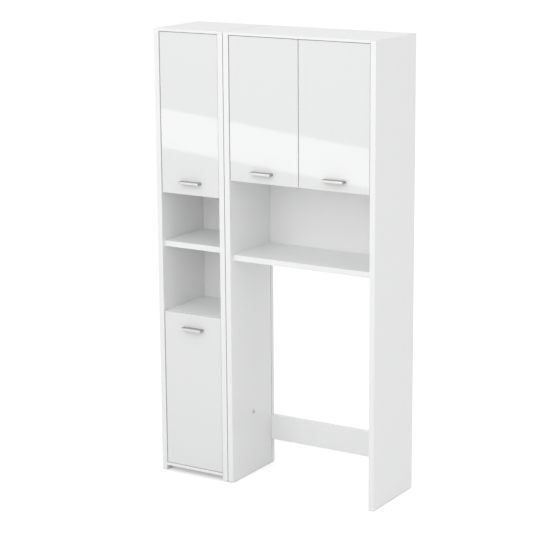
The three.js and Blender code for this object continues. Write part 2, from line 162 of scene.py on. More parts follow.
class CabinetStage(PropertyGroup):
    """Floor, sky and lamps"""

    floor_size: FloatProperty(
        name="Floor size", description="Side of the floor", default=80.0, unit="LENGTH"
    )
    floor_colour: colour("Floor colour", "Pale floor as the cabinet sees it", (0.7, 0.7, 0.7))
    floor_shown: colour("Floor shown", "Pale floor as the camera sees it", (1.0, 1.0, 1.0))
    floor_glow: colour("Floor glow", "Lift of the floor as the camera sees it", (0.25, 0.25, 0.25))
    sky: factor("Sky", "Strength of the light from all round", 0.795, 2.0)
    aim: length("Aim", "Height above the floor that the lamps aim at", 1650.0)
    key: factor("Key", "Strength of the wide lamp in front", 0.265, 5.0)
    key_turn: angle("Key turn", "Turn of the front lamp to the left", 0.0)
    key_height: angle("Key height", "Height of the front lamp above the horizon", 16.5)
    key_distance: length("Key distance", "From the cabinet to the front lamp", 3200.0)
    key_radius: length("Key radius", "Radius of the front lamp", 1700.0)
    fill: factor("Fill", "Strength of the wide lamp at the right", 0.095, 5.0)
    fill_turn: angle("Fill turn", "Turn of the right lamp to the left", -85.0)
    fill_height: angle("Fill height", "Height of the right lamp above the horizon", 12.0)
    fill_distance: length("Fill distance", "From the cabinet to the right lamp", 6000.0)
    fill_radius: length("Fill radius", "Radius of the right lamp", 2500.0)
    softbox: factor("Softbox", "How bright the soft box shows in the doors", 2.4, 10.0)
    softbox_place: FloatVectorProperty(
        name="Softbox place",
        description="Middle of the soft box that the doors mirror",
        default=(-2.55, -4.2, 0.54),
        unit="LENGTH",
        subtype="TRANSLATION",
    )
    softbox_width: length("Softbox width", "Width of the soft box", 1750.0)
    softbox_height: length("Softbox height", "Height of the soft box", 240.0)
    softbox_lean: angle("Softbox lean", "Sideways lean of the soft box", -11.5)


class CabinetColours(PropertyGroup):
    """Base colours of the finishes"""

    board: colour("Boards", "Satin white facing", (0.897, 0.899, 0.902))
    back: colour("Backs", "Thin satin white panel", (0.885, 0.885, 0.885))
    gloss: colour("Doors", "High-gloss white front", (0.812, 0.815, 0.819))
    # The pull is one metal throughout: its front colour is a painted highlight, and the darker
    # body colour is painted shade on the top and ends
    handle_painted_lit_front: colour("Handle fronts", "Polished nickel", (0.65, 0.63, 0.6))
    handle: colour("Handles", "Satin nickel", (0.42, 0.425, 0.425))
    nickel: colour("Hinges", "Bright nickel plate", (0.6, 0.605, 0.61))
    plastic: colour("Glides", "Light grey plastic", (0.62, 0.62, 0.61))
    bumper: colour("Bumpers", "Clear silicone", (0.8, 0.81, 0.82))


class HandleSizes(PropertyGroup):
    """Pull with a closed top, open below"""

    seat: length("Seat", "Gap between the pull and its door", 0.3)
    plate: length("Plate", "Thickness of the closed top", 2.5)
    lip: length("Lip", "Thickness of the lip along the front", 3.5)
    post: length("Post", "Width of the post at each end", 9.0)
    corner: length("Corner", "Radius of the front corners", 3.0)
    hollow: length("Hollow", "Radius of the grip's own corners", 3.0)
    edge: length("Edge", "Rounding along the edges", 0.9)
    head: length("Screw head", "Radius of a screw's head", 4.0)
    head_height: length("Screw head height", "Height of a screw's head", 1.9)
    steps: IntProperty(name="Steps", description="Steps round a corner", default=5, min=1)


class HingeSizes(PropertyGroup):
    """Concealed cup hinge; a place is from the panel's inner face and the boards' front edges"""

    seat: length("Seat", "Gap between parts that touch", 0.3)
    cup_place: length("Cup place", "Middle of the cup from the panel", 24.5)
    cup_radius: length("Cup radius", "Outer radius of the cup", 17.5)
    cup_depth: length("Cup depth", "How deep the cup goes into the door", 12.0)
    cup_wall: length("Cup wall", "Wall of the cup", 1.0)
    cup_hollow: length("Cup hollow", "Rounding of the floor inside the cup", 1.5)
    flange_length: length("Flange length", "Length of the cup's flange", 52.0)
    flange_width: length("Flange width", "Width of the cup's flange", 16.0)
    flange_thickness: length("Flange thickness", "Thickness of the cup's flange", 1.0)
    corner: length("Corner", "Radius of the corners of the flange and the plate", 4.0)
    cup_pin: lengths("Cup pin", "Pin of the cup", 12.5, 16.1)
    arm_pin: lengths("Arm pin", "Pin of the arm", 36.7, 26.8)
    knee: lengths("Knee", "Knee of the link", 20.2, 11.8)
    pin_radius: length("Pin radius", "Radius of both pins", 1.8)
    knuckle: length("Knuckle", "Radius of the link's and the arm's knuckles", 3.0)
    link_width: length("Link width", "Width of the link", 8.4)
    link_thickness: length("Link thickness", "Thickness of the link", 2.4)
    link_bend: length("Link bend", "Bend radius of the link's knee", 4.0)
    link_edge: length("Link edge", "Rounding along the link's edges", 0.25)
    arm_width: length("Arm width", "Width of the arm", 14.2)
    arm_thickness: length("Arm thickness", "Thickness of the arm", 3.0)
    arm_bend: length("Arm bend", "Bend radius of the arm's crank", 5.0)
    arm_edge: length("Arm edge", "Rounding along the edges of the arm and its plate", 0.4)
    crank_start: lengths("Crank start", "First bend of the arm", 36.7, 32.8)
    crank_end: lengths("Crank end", "Second bend of the arm", 13.5, 54.8)
    arm_end: lengths("Arm end", "Rear end of the arm", 13.5, 96.0)
    screw_line: length("Screw line", "Plate screws from the boards' front edges", 58.0)
    plate_thickness: length("Plate thickness", "Thickness of the plate's wings", 2.5)
    wing_length: length("Wing length", "Length across both wings", 50.0)
    wing_width: length("Wing width", "Width of the wings", 15.0)
    plate_screw: length("Plate screw", "Radius of the plate's screw heads", 3.8)
    plate_screw_place: length("Plate screw place", "Plate screws from the hinge's middle", 16.0)
    plate_screw_height: length("Plate screw height", "Height of the plate's screw heads", 2.0)
    flange_screw: length("Flange screw", "Radius of the flange's screw heads", 3.3)
    flange_screw_place: length("Flange screw place", "Flange screws from the middle", 21.8)
    flange_screw_height: length("Flange screw height", "Height of the flange's screw heads", 1.2)
    setting_screw: length("Setting screw", "Radius of the arm's two setting screws", 3.1)
    setting_screw_height: length("Setting screw height", "Height of the setting screws", 1.6)
    setting_places: lengths("Setting places", "Both from the boards' front edges", 65.0, 86.0)
    slot_play: length("Slot play", "Between a setting screw and its slot", 0.6)
    slot_run: length("Slot run", "How far a slot runs on at both its ends", 2.5)
    slot_depth: length("Slot depth", "Depth of a setting screw's slot", 1.0)


class SmallSizes(PropertyGroup):
    """Bumpers, connectors and glides"""

    bumper_radius: length("Bumper radius", "Radius of a door bumper", 3.5)
    bumper_height: length("Bumper height", "Height of a door bumper", 0.9)
    bumper_edge: length("Bumper edge", "Rounding of a door bumper", 0.54)
    bumper_side: length("Bumper side", "Bumpers from the door's free edge", 11.0)
    bumper_end: length("Bumper end", "Bumpers from the door's ends", 5.0)
    bolt_shaft: length("Bolt shaft", "Radius of a connector's shaft", 3.6)
    bolt_head: length("Bolt head", "Radius of a connector's heads", 8.0)
    bolt_head_height: length("Bolt head height", "Height of a connector's heads", 2.0)
    bolt_edge: length("Bolt edge", "Rounding of a connector's heads", 0.8)
    bolt_socket: length("Bolt socket", "Radius of the six-sided sockets", 2.9)
    bolt_floor: length("Bolt floor", "Metal left under a socket", 0.5)
    washer: length("Washer", "Radius of the washer between the units", 10.0)
    washer_half: length("Washer half", "Half the washer's thickness", 1.2)
    washer_edge: length("Washer edge", "Rounding of the washer", 0.3)
    glide_radius: length("Glide radius", "Radius of a glide", 9.0)
    glide_height: length("Glide height", "Height of a glide", 2.7)
    glide_edge: length("Glide edge", "Rounding of a glide's lower edge", 0.9)
    glide_rim: length("Glide rim", "Rounding of a glide's upper edge", 0.25)
    nail_radius: length("Nail radius", "Radius of a glide's nail", 1.2)
    nail_length: length("Nail length", "Length of a glide's nail", 10.0)


# Finishes


class Socket:
    """A value among the nodes that Python's own signs work on"""

    def __init__(self, nodes, output):
        self.nodes = nodes
        self.output = output

    def calculate(self, operation, first, second):
        return self.nodes.add("ShaderNodeMath", {"operation": operation}, {0: first, 1: second})

    def __add__(self, other):
        return self.calculate("ADD", self, other)

    def __radd__(self, other):
        return self.calculate("ADD", other, self)

    def __sub__(self, other):
        return self.calculate("SUBTRACT", self, other)

    def __rsub__(self, other):
        return self.calculate("SUBTRACT", other, self)

    def __mul__(self, other):
        return self.calculate("MULTIPLY", self, other)

    def __rmul__(self, other):
        return self.calculate("MULTIPLY", other, self)

    def __gt__(self, other):
        return self.calculate("GREATER_THAN", self, other)

    def __lt__(self, other):
        return self.calculate("LESS_THAN", self, other)


class Nodes:
    """The nodes of a material or of the sky under construction, round one shader"""

    def __init__(self, owner, shader):
        owner.use_nodes = True
        self.owner = owner
        self.tree = owner.node_tree
        self.shader = self.tree.nodes[shader]

    def fill(self, node, values):
        """Sets or links a node's sockets, which are given by name or by number"""
        for key, value in values.items():
            socket = node.inputs[key]
            if isinstance(value, Socket):
                self.tree.links.new(value.output, socket)
            elif socket.type == "RGBA":
                socket.default_value = (*value, 1.0)
            else:
                socket.default_value = value

    def add(self, kind, settings=None, values=None, output=0):
        """Adds a node: its settings first, then the values or links of its sockets"""
        node = self.tree.nodes.new(kind)
        for key, value in (settings or {}).items():
            setattr(node, key, value)
        self.fill(node, values or {})
        return Socket(self, node.outputs[output])

    def between(self, mask, first, second):
        """A colour from the first to the second, by a mask"""
        values = {0: mask, 6: first, 7: second}
        return self.add("ShaderNodeMix", {"data_type": "RGBA"}, values, output=2)

    def seen_directly(self):
        """1 for the camera, in metal and through glass, and 0 where a surface only gives light"""
        camera, glossy, transmission = (
            self.add("ShaderNodeLightPath", output=f"Is {ray} Ray")
            for ray in ("Camera", "Glossy", "Transmission")
        )
        return self.add("ShaderNodeClamp", values={"Value": camera + glossy + transmission})

    def shade_with(self, values):
        """Sets or links the shader's own sockets, and gives back what the nodes belong to"""
        self.fill(self.shader, values)
        return self.owner


class Finish(Nodes):
    """A material of the cabinet or the floor"""

    def __init__(self, name):
        super().__init__(bpy.data.materials.new(name), "Principled BSDF")

    def place(self):
        """Where a point of the surface is, in metres, on the piece itself"""
        return self.add("ShaderNodeTexCoord", output="Object")

    def place_along(self, axis):
        return self.add("ShaderNodeSeparateXYZ", values={"Vector": self.place()}, output=axis)

    def noise(self, scale, detail, stretch=(1.0, 1.0, 1.0)):
        mapped = self.add("ShaderNodeMapping", values={"Vector": self.place(), "Scale": stretch})
        values = {"Vector": mapped, "Scale": scale, "Detail": detail}
        return self.add("ShaderNodeTexNoise", values=values)

    def bump(self, height, strength, depth):
        values = {"Height": height, "Strength": strength, "Distance": depth}
        return self.add("ShaderNodeBump", values=values)


def shade(value, share):
    """A colour darkened to a share of itself"""
    return tuple(channel * share for channel in value)


def ranging(mask, least, most):
    """A number from the least to the most, by a mask"""
    return least + (most - least) * mask


def satin_board(look):
    """Satin melamine facing: a fine pearl texture, and smoother banding on the front edges"""
    banding, glue_line, smoother = 1.0 * MILLIMETRE, 150 * MICROMETRE, 0.08
    finish = Finish("satin_board")
    pearl = finish.noise(scale=1500.0, detail=1.0)
    cloud = finish.noise(scale=3.0, detail=2.0)
    depth = finish.place_along("Y")
    band = depth < BOARD_FRONT + banding
    joint = (depth > BOARD_FRONT + banding) * (depth < BOARD_FRONT + banding + glue_line)
    facing = finish.between(cloud, shade(look.board, 0.992), look.board)
    return finish.shade_with({
        "Base Color": finish.between(joint, facing, shade(look.board, 0.8)),
        "Roughness": ranging(cloud, 0.4, 0.45) - smoother * band,
        "Normal": finish.bump(pearl, strength=0.1, depth=40 * MICROMETRE),
    })


def satin_back(look):
    """Thin lacquered back, a little duller than the boards"""
    finish = Finish("satin_back")
    fibre = finish.noise(scale=400.0, detail=3.0, stretch=(1.0, 1.0, 0.3))
    return finish.shade_with({
        "Base Color": finish.between(fibre, shade(look.back, 0.985), look.back),
        "Roughness": ranging(fibre, 0.48, 0.54),
        "Normal": finish.bump(fibre, strength=0.08, depth=30 * MICROMETRE),
    })


def gloss_door(look):
    """High-gloss front with a faint ripple, whiter gloss edges and a satin inner side"""
    front_film, inner_film, pearl_share = 1.2 * MILLIMETRE, 1.0 * MILLIMETRE, 0.3
    finish = Finish("gloss_door")
    depth = finish.place_along("Y")
    behind_front = depth > DOOR_FRONT + front_film
    inner = depth > DOOR_BACK - inner_film
    ripple = finish.noise(scale=22.0, detail=1.0)
    pearl = finish.noise(scale=1500.0, detail=1.0)
    height = ripple * (1.0 - inner) + pearl_share * pearl * inner
    return finish.shade_with({
        "Base Color": finish.between(behind_front, look.gloss, look.board),
        "Roughness": ranging(inner, 0.03, 0.41),
        "Normal": finish.bump(height, strength=0.05, depth=300 * MICROMETRE),
    })


def satin_nickel(look):
    """Pull grained along its length, its front a painted highlight and the rest painted shade"""
    lit_front_depth, smoother = 0.5 * MILLIMETRE, 0.1
    finish = Finish("satin_nickel")
    grain = finish.noise(scale=260.0, detail=3.0, stretch=(0.05, 1.0, 4.0))
    # Front face mask: painted highlight and a little less roughness here, and painted shade on the
    # top and ends
    front = finish.place_along("Y") < PULL_FRONT + lit_front_depth
    satin = finish.between(grain, shade(look.handle, 0.93), look.handle)
    return finish.shade_with({
        "Base Color": finish.between(front, satin, look.handle_painted_lit_front),
        "Metallic": 1.0,
        "Roughness": ranging(grain, 0.34, 0.46) - smoother * front,
        "Normal": finish.bump(grain, strength=0.15, depth=20 * MICROMETRE),
    })


def bright_nickel(look):
    """Plated steel of the hinges, screws and connectors"""
    finish = Finish("bright_nickel")
    rolled = finish.noise(scale=180.0, detail=4.0)
    return finish.shade_with({
        "Base Color": finish.between(rolled, shade(look.nickel, 0.9), look.nickel),
        "Metallic": 1.0,
        "Roughness": ranging(rolled, 0.2, 0.32),
        "Normal": finish.bump(rolled, strength=0.1, depth=20 * MICROMETRE),
    })


def moulded_plastic(look):
    """Matt glides with a spark-eroded grain"""
    finish = Finish("moulded_plastic")
    grain = finish.noise(scale=2500.0, detail=1.0)
    return finish.shade_with({
        "Base Color": finish.between(grain, shade(look.plastic, 0.95), look.plastic),
        "Roughness": ranging(grain, 0.5, 0.6),
        "Normal": finish.bump(grain, strength=0.2, depth=30 * MICROMETRE),
    })


def clear_silicone(look):
    """Soft clear bumpers"""
    finish = Finish("clear_silicone")
    haze = finish.noise(scale=900.0, detail=1.0)
    return finish.shade_with({
        "Base Color": finish.between(haze, shade(look.bumper, 0.96), look.bumper),
        "Roughness": ranging(haze, 0.25, 0.35),
        "Transmission Weight": 0.6,
        "IOR": 1.41,
    })


FINISHES = {
    make.__name__: make
    for make in (
        satin_board,
        satin_back,
        gloss_door,
        satin_nickel,
        bright_nickel,
        moulded_plastic,
        clear_silicone,
    )
}


def paint(piece, name):
    """Gives a finish to a piece, and makes the finish if this is its first piece"""
    made = bpy.data.materials.get(name)
    piece.data.materials.clear()
    piece.data.materials.append(made or FINISHES[name](bpy.context.scene.cabinet_colours))


def paint_nodes(slot_name, name):
    """Gives a finish to every solid of one material slot of the record"""
    for subpart in frame["record"]["subparts"]:
        if subpart["material_slot"] == slot_name:
            paint(frame["nodes"][subpart["node"]], name)


# Modelling


def let_go():
    """Nothing stays selected, so that an operator acts on the new piece alone"""
    bpy.ops.object.select_all(action="DESELECT")


def take_up(piece):
    """Selects one piece alone, for the operators that follow"""
    let_go()
    piece.select_set(True)
    bpy.context.view_layer.objects.active = piece


def done(piece, name, finish):
    """Ends a piece: its place goes into its mesh, and flat and round faces are shaded as such"""
    take_up(piece)
    bpy.ops.object.transform_apply(location=True, rotation=True, scale=True)
    bpy.ops.object.shade_smooth_by_angle(angle=SMOOTH_BELOW)
    piece.name = name
    piece.data.name = name
    paint(piece, finish)
    return piece


def pick_edges(test):
    """Selects the edges whose middle passes a test"""
    bpy.ops.mesh.select_all(action="DESELECT")
    bpy.ops.mesh.select_mode(type="EDGE")
    mesh = bmesh.from_edit_mesh(bpy.context.object.data)
    for edge in mesh.edges:
        if test((edge.verts[0].co + edge.verts[1].co) / 2):
            edge.select_set(True)
    mesh.select_flush_mode()
    bmesh.update_edit_mesh(bpy.context.object.data)


def modify(piece, kind, **settings):
    """Adds a modifier and applies it"""
    modifier = piece.modifiers.new(kind.title(), kind)
    for key, value in settings.items():
        setattr(modifier, key, value)
    bpy.ops.object.modifier_apply(modifier=modifier.name)


def block(low, high):
    """A box between two corners"""
    let_go()
    low, high = Vector(low), Vector(high)
    bpy.ops.mesh.primitive_cube_add(size=1.0, location=(low + high) / 2)
    box = bpy.context.object
    box.scale = high - low
    bpy.ops.object.transform_apply(location=True, rotation=True, scale=True)
    return box


def drum(axis, radius, start, end, middle=(0.0, 0.0, 0.0), steps=48):
    """A round bar along an axis, from one place on it to another"""
    let_go()
    place = Vector(middle)
    place["XYZ".index(axis)] = (start + end) / 2
    bpy.ops.mesh.primitive_cylinder_add(
        vertices=steps, radius=radius, depth=end - start, location=place, rotation=ALONG[axis]
    )
    bar = bpy.context.object
    bpy.ops.object.transform_apply(location=True, rotation=True, scale=True)
    return bar


def round_edges(test, radius, steps=4):
    """Rounds those edges of the piece in hand whose middle passes a test"""
    bpy.ops.object.mode_set(mode="EDIT")
    pick_edges(test)
    bpy.ops.mesh.bevel(offset=radius, segments=steps, affect="EDGES")
    bpy.ops.object.mode_set(mode="OBJECT")


def combine(piece, other, operation="UNION"):
    """Joins another piece on, cuts it away or keeps what both share, and drops the other"""
    take_up(piece)
    modify(piece, "BOOLEAN", operation=operation, solver="EXACT", object=other)
    bpy.data.objects.remove(other)


def cut(piece, other):
    combine(piece, other, "DIFFERENCE")


def soften(piece, width, segments=2):
    """Rounds every sharp edge of a piece"""
    take_up(piece)
    modify(
        piece,
        "BEVEL",
        width=width,
        segments=segments,
        limit_method="ANGLE",
        angle_limit=SHARP_ABOVE,
    )


def pan_head(name, radius, height, axis):
    """The head of a cross-slotted screw, standing at the origin along an axis"""
    crown, slot_depth = 0.45 * height, 0.55 * height
    slot_reach, slot_half_width = 0.6 * radius, 0.12 * radius
    head = drum("Z", radius, 0.0, height, steps=32)
    round_edges(lambda at: at.z > height - TINY, crown)
    for x, y in ((slot_reach, slot_half_width), (slot_half_width, slot_reach)):
        cut(head, block((-x, -y, height - slot_depth), (x, y, height + slot_depth)))
    head.rotation_euler = ALONG[axis]
    return done(head, name, "bright_nickel")


def bent_strip(points, thickness, width, bend, steps=8):
    """A strip along points in the XY plane: extruded along the straights, spun at the bends"""
    line = [Vector((x, y, 0.0)) for x, y in points]
    heading = (line[1] - line[0]).normalized()
    let_go()
    bpy.ops.mesh.primitive_plane_add(size=1.0, location=line[0], rotation=(math.pi / 2, 0.0, 0.0))
    strip = bpy.context.object
    bpy.ops.object.transform_apply(location=False, rotation=True, scale=False)
    strip.scale = (thickness, 1.0, width)
    strip.rotation_euler.z = math.atan2(heading.x, -heading.y)
    bpy.ops.object.transform_apply(location=True, rotation=True, scale=True)
    bpy.ops.object.mode_set(mode="EDIT")
    bpy.ops.mesh.select_all(action="SELECT")
    here = line[0]
    for i in range(1, len(line)):
        ahead = (line[i] - line[i - 1]).normalized()
        if i == len(line) - 1:
            extrude(line[i] - here)
            break
        leaving = (line[i + 1] - line[i]).normalized()
        turn = math.atan2(ahead.cross(leaving).z, ahead.dot(leaving))
        trim = bend * math.tan(abs(turn) / 2)
        end = line[i] - ahead * trim
        extrude(end - here)
        side = Vector((-ahead.y, ahead.x, 0.0)) * math.copysign(bend, turn)
        bpy.ops.mesh.spin(steps=steps, angle=-turn, center=end + side, axis=Z_AXIS)
        here = line[i] + leaving * trim
    bpy.ops.object.mode_set(mode="OBJECT")
    return strip


def extrude(step):
    bpy.ops.mesh.extrude_region_move(TRANSFORM_OT_translate={"value": step})


def copy_to(master, name, move, body, mirrored=False):
    """A copy of a modelled piece with its own mesh, moved to its place and riding on a body"""
    copy = master.copy()
    copy.data = master.data.copy()
    copy.name = name
    copy.data.name = name
    bpy.context.scene.collection.objects.link(copy)
    flip = Matrix.Diagonal((-1.0 if mirrored else 1.0, 1.0, 1.0, 1.0))
    copy.data.transform(Matrix.Translation(move) @ flip)
    if mirrored:
        copy.data.flip_normals()
    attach(copy, body)
    return copy


def drop(*masters):
    """Removes the pieces that the copies were made from"""
    for master in masters:
        bpy.data.objects.remove(master)


def middle_of(node):
    low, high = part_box(node)
    return (low + high) / 2


def body_with(node):
    for body, members in frame["record"]["behaviour"]["bodies"].items():
        if node in members:
            return body
    raise ValueError(f"no body carries {node}")


# Pieces


class CABINET_OT_stage(Operator):
    """Lays the floor, hangs the lamps and sets up the camera"""

    bl_idname = "cabinet.stage"
    bl_label = "Stage"

    def execute(self, context):
        scene = context.scene
        stage = scene.cabinet_stage
        scene.view_settings.view_transform = "Standard"
        self.add_camera(scene)
        self.add_floor(stage)
        self.add_sky(scene, stage)
        for name in ("key", "fill"):
            self.add_lamp(scene, stage, name)
        self.add_softbox(scene, stage)
        return {"FINISHED"}

    def add_camera(self, scene):
        view = scene.cabinet_camera
        camera = bpy.data.objects.new("camera", bpy.data.cameras.new("camera"))
        camera.data.lens = view.lens
        camera.data.sensor_width = view.sensor
        camera.data.shift_x = view.shift
        camera.data.clip_end = view.reach
        upright = Matrix.Rotation(math.pi / 2 - view.tilt, 4, "X")
        turned = Matrix.Rotation(view.turn, 4, "Z")
        rolled = Matrix.Rotation(view.roll, 4, "Z")
        camera.matrix_world = Matrix.Translation(view.position) @ turned @ upright @ rolled
        scene.collection.objects.link(camera)
        scene.camera = camera

    def add_floor(self, stage):
        let_go()
        bpy.ops.mesh.primitive_plane_add(size=stage.floor_size)
        floor = bpy.context.object
        floor.name = "floor"
        finish = Finish("pale_floor")
        shown = finish.seen_directly()
        floor.data.materials.append(finish.shade_with({
            "Base Color": finish.between(shown, stage.floor_colour, stage.floor_shown),
            "Roughness": 0.9,
            "Emission Color": finish.between(shown, (0.0, 0.0, 0.0), stage.floor_glow),
            "Emission Strength": 1.0,
        }))

    def add_sky(self, scene, stage):
        """White to the camera and in mirrors, and of the stage's own strength as a light"""
        sky = Nodes(bpy.data.worlds.new("sky"), "Background")
        strength = stage.sky + (1.0 - stage.sky) * sky.seen_directly()
        scene.world = sky.shade_with({"Color": (1.0, 1.0, 1.0), "Strength": strength})

    def add_lamp(self, scene, stage, name):
        """A round soft lamp that gives a white surface facing it the lamp's strength"""
        strength, turn, height, distance, radius = (
            getattr(stage, f"{name}{part}")
            for part in ("", "_turn", "_height", "_distance", "_radius")
        )
        light = bpy.data.lights.new(name, "AREA")
        light.shape = "DISK"
        light.size = 2.0 * radius
        light.energy = math.pi ** 2 * strength * (radius ** 2 + distance ** 2)
        lamp = bpy.data.objects.new(name, light)
        lamp.visible_camera = False
        turned = Matrix.Rotation(-turn, 4, "Z")
        tilted = Matrix.Rotation(math.pi / 2 - height, 4, "X")
        away = Matrix.Translation((0.0, 0.0, distance))
        lamp.matrix_world = Matrix.Translation((0.0, 0.0, stage.aim)) @ turned @ tilted @ away
        scene.collection.objects.link(lamp)

    def add_softbox(self, scene, stage):
        """A leaning soft box low at the front left, which the gloss doors mirror"""
        light = bpy.data.lights.new("softbox", "AREA")
        light.shape = "RECTANGLE"
        light.size = stage.softbox_width
        light.size_y = stage.softbox_height
        light.energy = math.pi * stage.softbox * light.size * light.size_y
        box = bpy.data.objects.new("softbox", light)
        box.visible_camera = False
        place = Vector(stage.softbox_place)
        sight = Vector((0.0, 0.0, stage.aim)) - place
        facing = sight.to_track_quat("-Z", "Y").to_matrix().to_4x4()
        lean = Matrix.Rotation(stage.softbox_lean, 4, "Z")
        box.matrix_world = Matrix.Translation(place) @ facing @ lean
        scene.collection.objects.link(box)


class CABINET_OT_boards(Operator):
    """Faces and edges the boards and backs"""

    bl_idname = "cabinet.boards"
    bl_label = "Boards and backs"

    def execute(self, context):
        paint_nodes("board", "satin_board")
        paint_nodes("back", "satin_back")
        return {"FINISHED"}


class CABINET_OT_doors(Operator):
    """Gives the doors their gloss fronts and satin inner sides"""

    bl_idname = "cabinet.doors"
    bl_label = "Doors"

    def execute(self, context):
        paint_nodes("gloss", "gloss_door")
        return {"FINISHED"}


class CABINET_OT_handles(Operator):
    """Models a pull with a closed top and fixes one to each door with two screws"""

    bl_idname = "cabinet.handles"
    bl_label = "Handles"

    def execute(self, context):
        sizes = context.scene.cabinet_handle
        low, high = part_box("wide_left_door_handle")
        half_length = (high.x - low.x) / 2
        pull = self.model_pull(sizes, half_length, (high.z - low.z) / 2)
        screw = pan_head("pull_screw", sizes.head, sizes.head_height, "Y")
        for door in PANELS:
            node = f"{door}_handle"
            where = middle_of(node)
            piece = copy_to(pull, f"{door}_pull", (where.x, 0.0, where.z), door)
            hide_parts(node)
            for side, step in (("left", -1.0), ("right", 1.0)):
                x = where.x + step * (half_length - sizes.post / 2)
                place = (x, high.y - sizes.head_height, where.z)
                copy_to(screw, f"{door}_pull_screw_{side}", place, door)
        drop(pull, screw)
        return {"FINISHED"}

    def model_pull(self, sizes, half_length, half_height):
        """A bar with rounded front corners, hollowed from below between its posts"""
        foot = DOOR_FRONT - sizes.seat
        half_grip = half_length - sizes.post
        behind_lip = PULL_FRONT + sizes.lip
        pull = block((-half_length, PULL_FRONT, -half_height), (half_length, foot, half_height))
        round_edges(
            lambda at: at.y < PULL_FRONT + TINY and abs(at.x) > half_length - TINY,
            sizes.corner,
            sizes.steps,
        )
        grip = block(
            (-half_grip, behind_lip, -2 * half_height),
            (half_grip, DOOR_FRONT, half_height - sizes.plate),
        )
        round_edges(
            lambda at: at.y < behind_lip + TINY and abs(at.x) > half_grip - TINY,
            sizes.hollow,
            sizes.steps,
        )
        cut(pull, grip)
        soften(pull, sizes.edge, segments=3)
        return done(pull, "pull", "satin_nickel")


